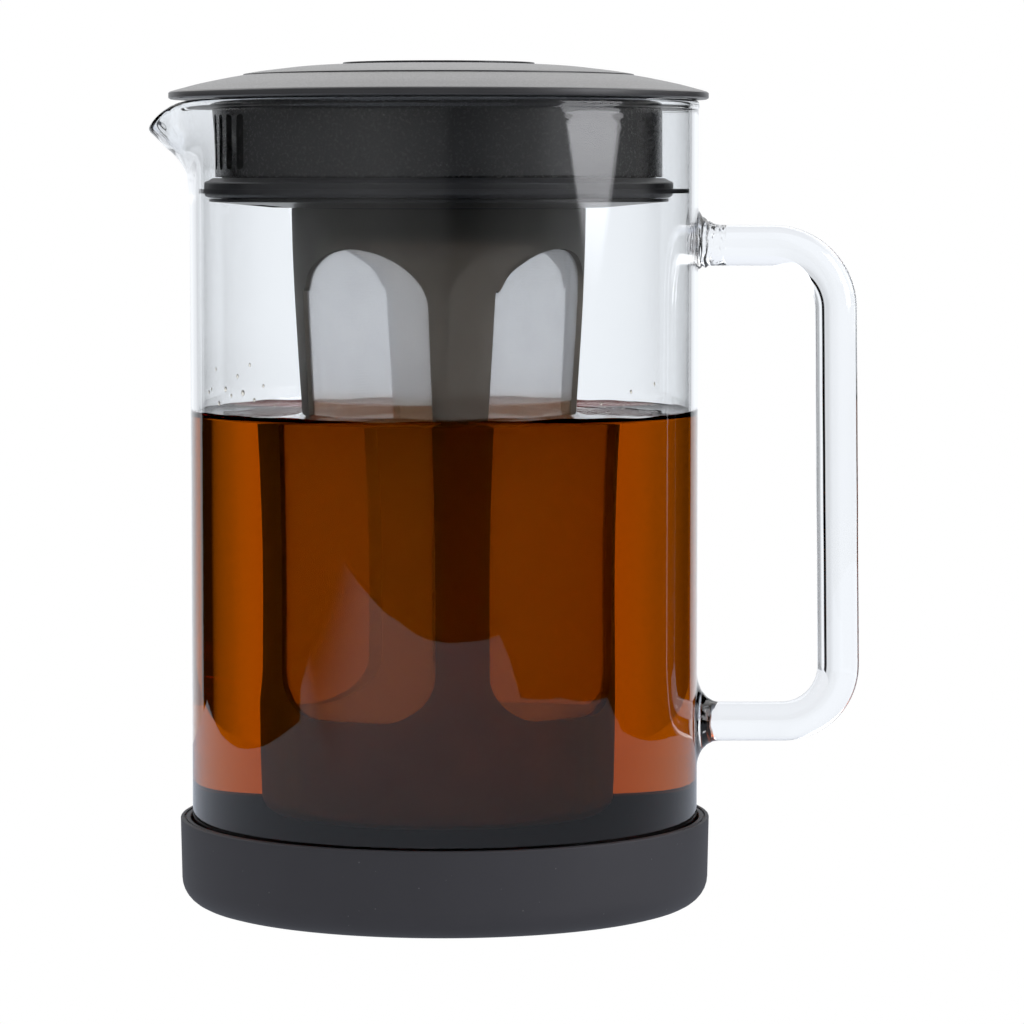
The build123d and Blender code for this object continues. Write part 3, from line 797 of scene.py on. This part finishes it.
# ------------------------------------------------------------------ boot
boot_prof = rounded([
    (0.0, 0.0), (27.2, 0.0), (27.4, 0.55, 0.15), (28.6, 0.55, 0.15), (28.8, 0.0),
    (35.2, 0.0), (35.4, 0.55, 0.15), (36.6, 0.55, 0.15), (36.8, 0.0),
    (43.2, 0.0), (43.4, 0.55, 0.15), (44.6, 0.55, 0.15), (44.8, 0.0),
    (63.28, 0.0, 6.4), (63.73, 20.88, 0.4), (62.8, 20.88, 0.15), (62.68, 20.45, 0.08), (62.42, 20.45, 0.08), (62.3, 20.8, 0.15),
    (61.25, 20.8, 0.35), (61.12, 2.5, 8.5), (0.0, 2.5)], seg=8)
boot = lathe("boot_cup", boot_prof, [mat_boot], n=360, sharp_deg=60)
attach(boot, "base")
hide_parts("base_boot")

# ------------------------------------------------------------------ lid top: three turned pieces
dome = curve_through([(64.05, 194.62), (61.8, 195.25), (57.0, 196.5), (50.8, 197.78), (47.0, 198.46)], 8)
cover_prof = rounded([(64.49, 193.1, 0.12), (64.49, 194.3, 0.15)]
                     + [(r, z) for r, z in dome] + [(46.86, 198.46, 0.03), (46.86, 198.1), (45.1, 198.1), (45.1, 197.4), (0.0, 197.4), (0.0, 195.6), (47.0, 195.6),
                        (49.0, 192.8), (64.0, 192.8, 0.2)], seg=4)
cover = lathe("lid_cover_shell", cover_prof, [mat_lid], n=400, x=LX, sharp_deg=30)
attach(cover, "lid")
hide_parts("lid_cover")

dome2 = curve_through([(46.4, 198.83), (42.9, 199.4), (38.1, 200.0), (33.3, 200.55), (28.5, 200.9), (22.9, 201.15)], 6)
disc_prof = rounded([(46.68, 198.15, 0.03), (46.68, 198.74, 0.12)] + [(r, z) for r, z in dome2]
                    + [(21.9, 201.15), (21.9, 200.3), (0.0, 200.3), (0.0, 197.4), (45.0, 197.4), (45.0, 198.15)], seg=4)
disc = lathe("lid_disc_shell", disc_prof, [mat_lid], n=400, x=LX, sharp_deg=30)
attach(disc, "lid")
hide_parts("lid_step_disc")

cap_prof = rounded([(0.0, 200.3), (21.8, 200.3), (21.8, 201.22), (22.9, 201.22, 0.05), (22.9, 201.6, 0.12), (0.0, 201.6)], seg=4)
cap = lathe("lid_cap_shell", cap_prof, [mat_lid], n=320, x=LX, sharp_deg=30)
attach(cap, "lid")
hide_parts("lid_centre_cap")


# ------------------------------------------------------------------ carried-over pieces
def finish_node(name, mat):
    o = NODES[name]
    for s in o.material_slots:
        s.material = mat
    return o


finish_node("lid_plug", mat_plug)
finish_node("plug_base_plate", mat_plate)
finish_node("lid_gasket", mat_seal)
finish_node("filter_frame", mat_smoky)
for n_ in ("filter_mesh_front_left", "filter_mesh_front_right", "filter_mesh_back_right", "filter_mesh_back_left"):
    finish_node(n_, mat_mesh)


# ------------------------------------------------------------------ stage
def flat(name, pts, z, mat):
    me = bpy.data.meshes.new(name)
    me.from_pydata([(x, y, z) for x, y in pts], [], [tuple(range(len(pts)))])
    me.materials.append(mat)
    ob = bpy.data.objects.new(name, me)
    bpy.context.scene.collection.objects.link(ob)
    return ob


def by_path(t, camera, mirrored, through, matt):
    """Picks the brightness for the way the light came: light that a glass wall turned back inside counts as mirrored."""
    path = t.add("ShaderNodeLightPath")
    turned = t.math("MINIMUM", path.outputs["Glossy Depth"], 1.0)
    turned = t.math("MULTIPLY", turned, t.math("SUBTRACT", 1.0, t.math("MINIMUM", path.outputs["Diffuse Depth"], 1.0)))
    c = t.mix(path.outputs["Is Glossy Ray"], matt, mirrored)
    c = t.mix(path.outputs["Is Transmission Ray"], c, t.mix(turned, through, mirrored))
    return t.mix(path.outputs["Is Camera Ray"], c, camera)


def lit(name, camera, mirrored, through, matt):
    """A surface that only glows: its brightness to the camera, in reflections, through glass and on matt surfaces."""
    m, t = material(name)
    c = by_path(t, camera(t), mirrored(t), through(t), matt(t))
    e = t.add("ShaderNodeEmission")
    t.link(c, e.inputs["Color"])
    output(t, e.outputs[0])
    m.cycles.emission_sampling = "NONE"
    return m


def grey(v, tint=(1.0, 1.0, 1.0)):
    return lambda t: tuple(v * c for c in tint)


def table_mirrored(t):
    """Even, but it fades out towards the front left."""
    xyz = t.add("ShaderNodeSeparateXYZ")
    t.link(t.position(), xyz.inputs[0])
    s = t.math("SUBTRACT", t.math("MULTIPLY", t.math("ADD", xyz.outputs["X"], 0.452), 0.899),
               t.math("MULTIPLY", t.math("ADD", xyz.outputs["Y"], 0.33), 0.439))
    soft = t.remap(s, -0.12, 0.20, 0.0, 1.0, smooth=True)
    keep = t.remap(xyz.outputs["Y"], -0.36, -0.24, 0.0, 1.0, smooth=True)
    side = t.remap(xyz.outputs["X"], -0.25, 0.33, 1.16, 0.82)
    lit_ = t.mix(1.0, (0.54, 0.58, 0.66), side, "MULTIPLY")
    return t.mix(t.math("MAXIMUM", soft, keep), (0.0, 0.0, 0.0), lit_)


table = flat("table", [(0.24, 0.32), (-0.364, 0.32), (-0.360, 0.150), (-0.367, 0.049), (-0.387, -0.057), (-0.403, -0.129),
                       (-0.415, -0.210), (-0.500, -0.250), (-0.660, -0.420), (-0.770, -0.600), (-0.800, -0.790), (-0.453, -0.778),
                       (-0.254, -0.769), (-0.070, -0.738), (0.120, -0.724), (0.313, -0.690), (0.319, -0.565), (0.295, -0.460),
                       (0.418, -0.341), (0.507, -0.139), (0.462, -0.093), (0.424, -0.058), (0.404, 0.0), (0.382, 0.067),
                       (0.343, 0.171), (0.276, 0.265)],
             -0.0001, lit("table_white", grey(1.0), table_mirrored, grey(0.92, (0.97, 0.99, 1.03)), grey(0.75)))
outer = flat("floor", [(-6, -6), (6, -6), (6, 6), (-6, 6)], -0.0012, lit("floor_white", grey(1.0), grey(1.0), grey(1.0), grey(1.0)))
for attr in ("visible_diffuse", "visible_glossy", "visible_transmission", "visible_volume_scatter", "visible_shadow"):
    setattr(outer, attr, False)

# backdrop panel behind the jug, with a dark flag on the right: it is seen only in glass and in reflections
PANEL_Y = 0.30
PANEL_X = (-0.40, 0.60)


def across(stops):
    """Brightness by x in millimetres."""
    def build(t):
        xyz = t.add("ShaderNodeSeparateXYZ")
        t.link(t.position(), xyz.inputs[0])
        fac = t.remap(xyz.outputs["X"], PANEL_X[0], PANEL_X[1])
        return t.ramp(fac, [((x * MM - PANEL_X[0]) / (PANEL_X[1] - PANEL_X[0]), (v * 0.965, v * 0.99, v * 1.03)) for x, v in stops]), xyz.outputs["Z"]
    return build


def panel_through(t):
    low, z = across([(-400, 0.75), (-330, 0.70), (-312, 0.40), (-270, 0.36), (-226, 0.44), (-209, 0.48), (-171, 0.68), (-138, 0.74), (-111, 0.90),
                     (-88, 0.97), (-40, 1.05), (98, 1.05), (112, 0.97), (124, 0.84), (137, 0.73), (154, 0.63), (175, 0.51), (188, 0.37),
                     (200, 0.05), (282, 0.04), (291, 0.80), (312, 1.0), (350, 0.95), (405, 0.5), (600, 0.35)])(t)
    high, _ = across([(-400, 0.5), (-250, 0.5), (-231, 0.57), (-187, 0.90), (-150, 1.03), (150, 1.03), (200, 0.62), (260, 0.7), (330, 0.8),
                      (400, 0.45), (600, 0.3)])(t)
    both = t.mix(t.remap(z, 0.112, 0.132, 0.0, 1.0, smooth=True), low, high)
    # what one rod or wall alone shows: light, with one narrow dark strip to the right
    single, _ = across([(-400, 1.45), (-330, 1.35), (-250, 1.22), (-176, 1.08), (-70, 1.0), (85, 1.0), (115, 0.955), (156, 0.92), (198, 0.76), (236, 0.78),
                        (246, 0.45), (249, 0.0), (292, 0.0), (295, 0.85), (310, 1.05), (352, 1.06), (400, 0.70), (450, 0.50), (520, 0.46), (600, 0.60)])(t)
    crossed = t.add("ShaderNodeLightPath").outputs["Transmission Depth"]
    return t.mix(t.math("GREATER_THAN", crossed, 2.5), single, both)


def panel_mirrored(t):
    c, _ = across([(-400, 0.0), (-311, 0.0), (-309, 0.82), (-290, 0.70), (-260, 0.55), (-205, 0.80), (-160, 1.0), (175, 1.0), (222, 0.65), (234, 0.6), (236, 0.0), (600, 0.0)])(t)
    return c


panel_me = bpy.data.meshes.new("back_panel")
panel_me.from_pydata([(PANEL_X[0], PANEL_Y, 0.0), (PANEL_X[1], PANEL_Y, 0.0), (PANEL_X[1], PANEL_Y, 0.27), (PANEL_X[0], PANEL_Y, 0.27)], [], [(0, 1, 2, 3)])
panel_me.materials.append(lit("panel_white", grey(1.0), panel_mirrored, panel_through, grey(0.9)))
panel = bpy.data.objects.new("back_panel", panel_me)
bpy.context.scene.collection.objects.link(panel)
for attr in ("visible_camera", "visible_diffuse", "visible_volume_scatter", "visible_shadow"):
    setattr(panel, attr, False)


# ------------------------------------------------------------------ studio: one world, soft panels all round
def build_world():
    w = bpy.data.worlds.new("studio")
    bpy.context.scene.world = w
    w.use_nodes = True
    t = Tree(w.node_tree)
    w.cycles.sampling_method = "NONE"
    d = t.add("ShaderNodeTexCoord").outputs["Generated"]
    xyz = t.add("ShaderNodeSeparateXYZ")
    t.link(d, xyz.inputs[0])
    x, y, z = xyz.outputs
    az = t.math("MULTIPLY", t.math("ARCTAN2", x, y), 180 / math.pi)          # 0 straight behind the jug, + to the right
    el = t.math("MULTIPLY", t.math("ARCSINE", t.math("MINIMUM", t.math("MAXIMUM", z, -1.0), 1.0)), 180 / math.pi)
    fac = t.math("DIVIDE", t.math("ADD", az, 180.0), 360.0)

    def by_azimuth(stops):
        return t.ramp(fac, [((a + 180) / 360, (v, v, v)) for a, v in stops])

    def band(lo0, lo1, hi0, hi1):
        up = t.remap(el, lo0, lo1, 0.0, 1.0, smooth=True)
        down = t.remap(el, hi0, hi1, 1.0, 0.0, smooth=True)
        return t.math("MULTIPLY", up, down)

    # softbox on the right, in front: its lower corners are cut, so it narrows towards its lower edge
    half = t.math("MINIMUM", t.math("MULTIPLY_ADD", el, 5.84, 11.04), 16.5)
    side = t.math("ABSOLUTE", t.math("SUBTRACT", az, 108.0))
    box = t.remap(t.math("SUBTRACT", half, side), -0.6, 1.2, 0.0, 1.0, smooth=True)
    box = t.math("MULTIPLY", box, t.remap(el, 40.0, 44.0, 1.0, 0.0, smooth=True))
    box = t.math("MULTIPLY", box, t.remap(el, -1.7, 0.6, 0.0, 1.0, smooth=True))

    # light that comes through glass
    through = by_azimuth([(-180, 0.80), (-150, 0.75), (-125, 0.16), (-108, 0.16), (-98, 0.72), (-56, 0.75), (-40, 0.9), (0, 1.04), (38, 1.0),
                          (46, 0.46), (62, 0.32), (70, 0.1), (74, 0.7), (96, 0.7), (106, 0.16), (125, 0.16), (150, 0.75), (180, 0.80)])
    # more from above, except straight behind
    high = t.remap(el, 12.0, 28.0, 0.0, 1.0, smooth=True), t.remap(t.math("ABSOLUTE", az), 14.0, 30.0, 1.0, 3.8, smooth=True)
    through = t.mix(band(-14.0, -10.0, 4.0, 12.0), (1.0, 1.0, 1.0), through)
    through = t.mix(high[0], through, high[1])
    through = t.mix(1.0, through, (0.955, 0.98, 1.035), "MULTIPLY")
    through = t.mix(box, through, (1.8, 1.8, 1.85))
    # light that threads and walls inside the glass scatter on
    inside = t.remap(el, -12.0, 8.0, 1.0, 2.3, smooth=True)
    # light that is mirrored
    mirrored = by_azimuth([(-180, 0.0), (-37.2, 0.0), (-36.2, 0.66), (-24, 0.86), (0, 0.95), (25, 0.9), (29, 0.85), (30, 0.0), (180, 0.0)])
    behind = t.remap(t.math("ABSOLUTE", az), 60.0, 100.0, 1.0, 0.0, smooth=True)
    front = by_azimuth([(-180, 0.12), (-165, 0.20), (-150, 0.28), (-130, 0.22), (-100, 0.12), (-80, 0.05), (-70, 0.0), (110, 0.3), (119, 0.3),
                        (125, 0.25), (145, 0.18), (155, 0.12), (165, 0.02), (175, 0.0), (180, 0.1)])
    sector = t.remap(t.math("ABSOLUTE", az), 70.0, 80.0, 0.0, 1.0, smooth=True)
    mirrored = t.mix(t.math("MULTIPLY", band(-3.0, -1.5, 4.0, 13.0), sector), mirrored, front)
    rising = t.remap(el, 17.0, 34.0, 1.38, 2.2, smooth=True)
    above = t.mix(behind, (0.10, 0.10, 0.10), rising)
    above = t.mix(t.remap(el, 38.0, 60.0, 0.0, 1.0, smooth=True), above, (0.30, 0.30, 0.31))
    mirrored = t.mix(t.remap(el, 4.0, 13.0, 0.0, 1.0, smooth=True), mirrored, above)
    low = t.remap(el, -30.0, -16.0, 1.0, 0.0, smooth=True)
    mirrored = t.mix(low, mirrored, (0.6, 0.6, 0.6))
    mirrored = t.mix(box, mirrored, (4.0, 4.0, 4.15))
    # light on matt surfaces
    matt = t.ramp(t.math("ADD", t.math("MULTIPLY", z, 0.5), 0.5), [(0.0, (0.55, 0.55, 0.57)), (0.5, (0.85, 0.85, 0.87)), (1.0, (1.15, 1.15, 1.15))])
    matt = t.mix(box, matt, (2.6, 2.6, 2.65))

    path = t.add("ShaderNodeLightPath")
    scattered = t.math("MINIMUM", path.outputs["Diffuse Depth"], 1.0)
    through = t.mix(scattered, through, t.mix(1.0, inside, (0.97, 0.99, 1.02), "MULTIPLY"))
    light = by_path(t, (1.0, 1.0, 1.0), mirrored, through, matt)
    bg = t.add("ShaderNodeBackground")
    t.link(light, bg.inputs["Color"])
    bg.inputs["Strength"].default_value = 1.0
    o = t.add("ShaderNodeOutputWorld")
    t.link(bg.outputs[0], o.inputs["Surface"])


build_world()

# ------------------------------------------------------------------ camera and colour
cam_data = bpy.data.cameras.new("camera")
cam_data.sensor_width = 36.0
cam_data.lens = 160.7
cam_data.clip_start = 0.01
cam_data.clip_end = 60.0
cam = bpy.data.objects.new("camera", cam_data)
bpy.context.scene.collection.objects.link(cam)
cam.location = (0.0162, -1.097, 0.1745)
cam.rotation_euler = (math.radians(90 - 4.2), 0.0, 0.0)
bpy.context.scene.camera = cam

sc = bpy.context.scene
sc.view_settings.view_transform = "Standard"
sc.view_settings.look = "None"
sc.cycles.max_bounces = 40
sc.cycles.transmission_bounces = 36
sc.cycles.glossy_bounces = 24
sc.cycles.diffuse_bounces = 6
sc.cycles.transparent_max_bounces = 40
sc.cycles.volume_bounces = 0
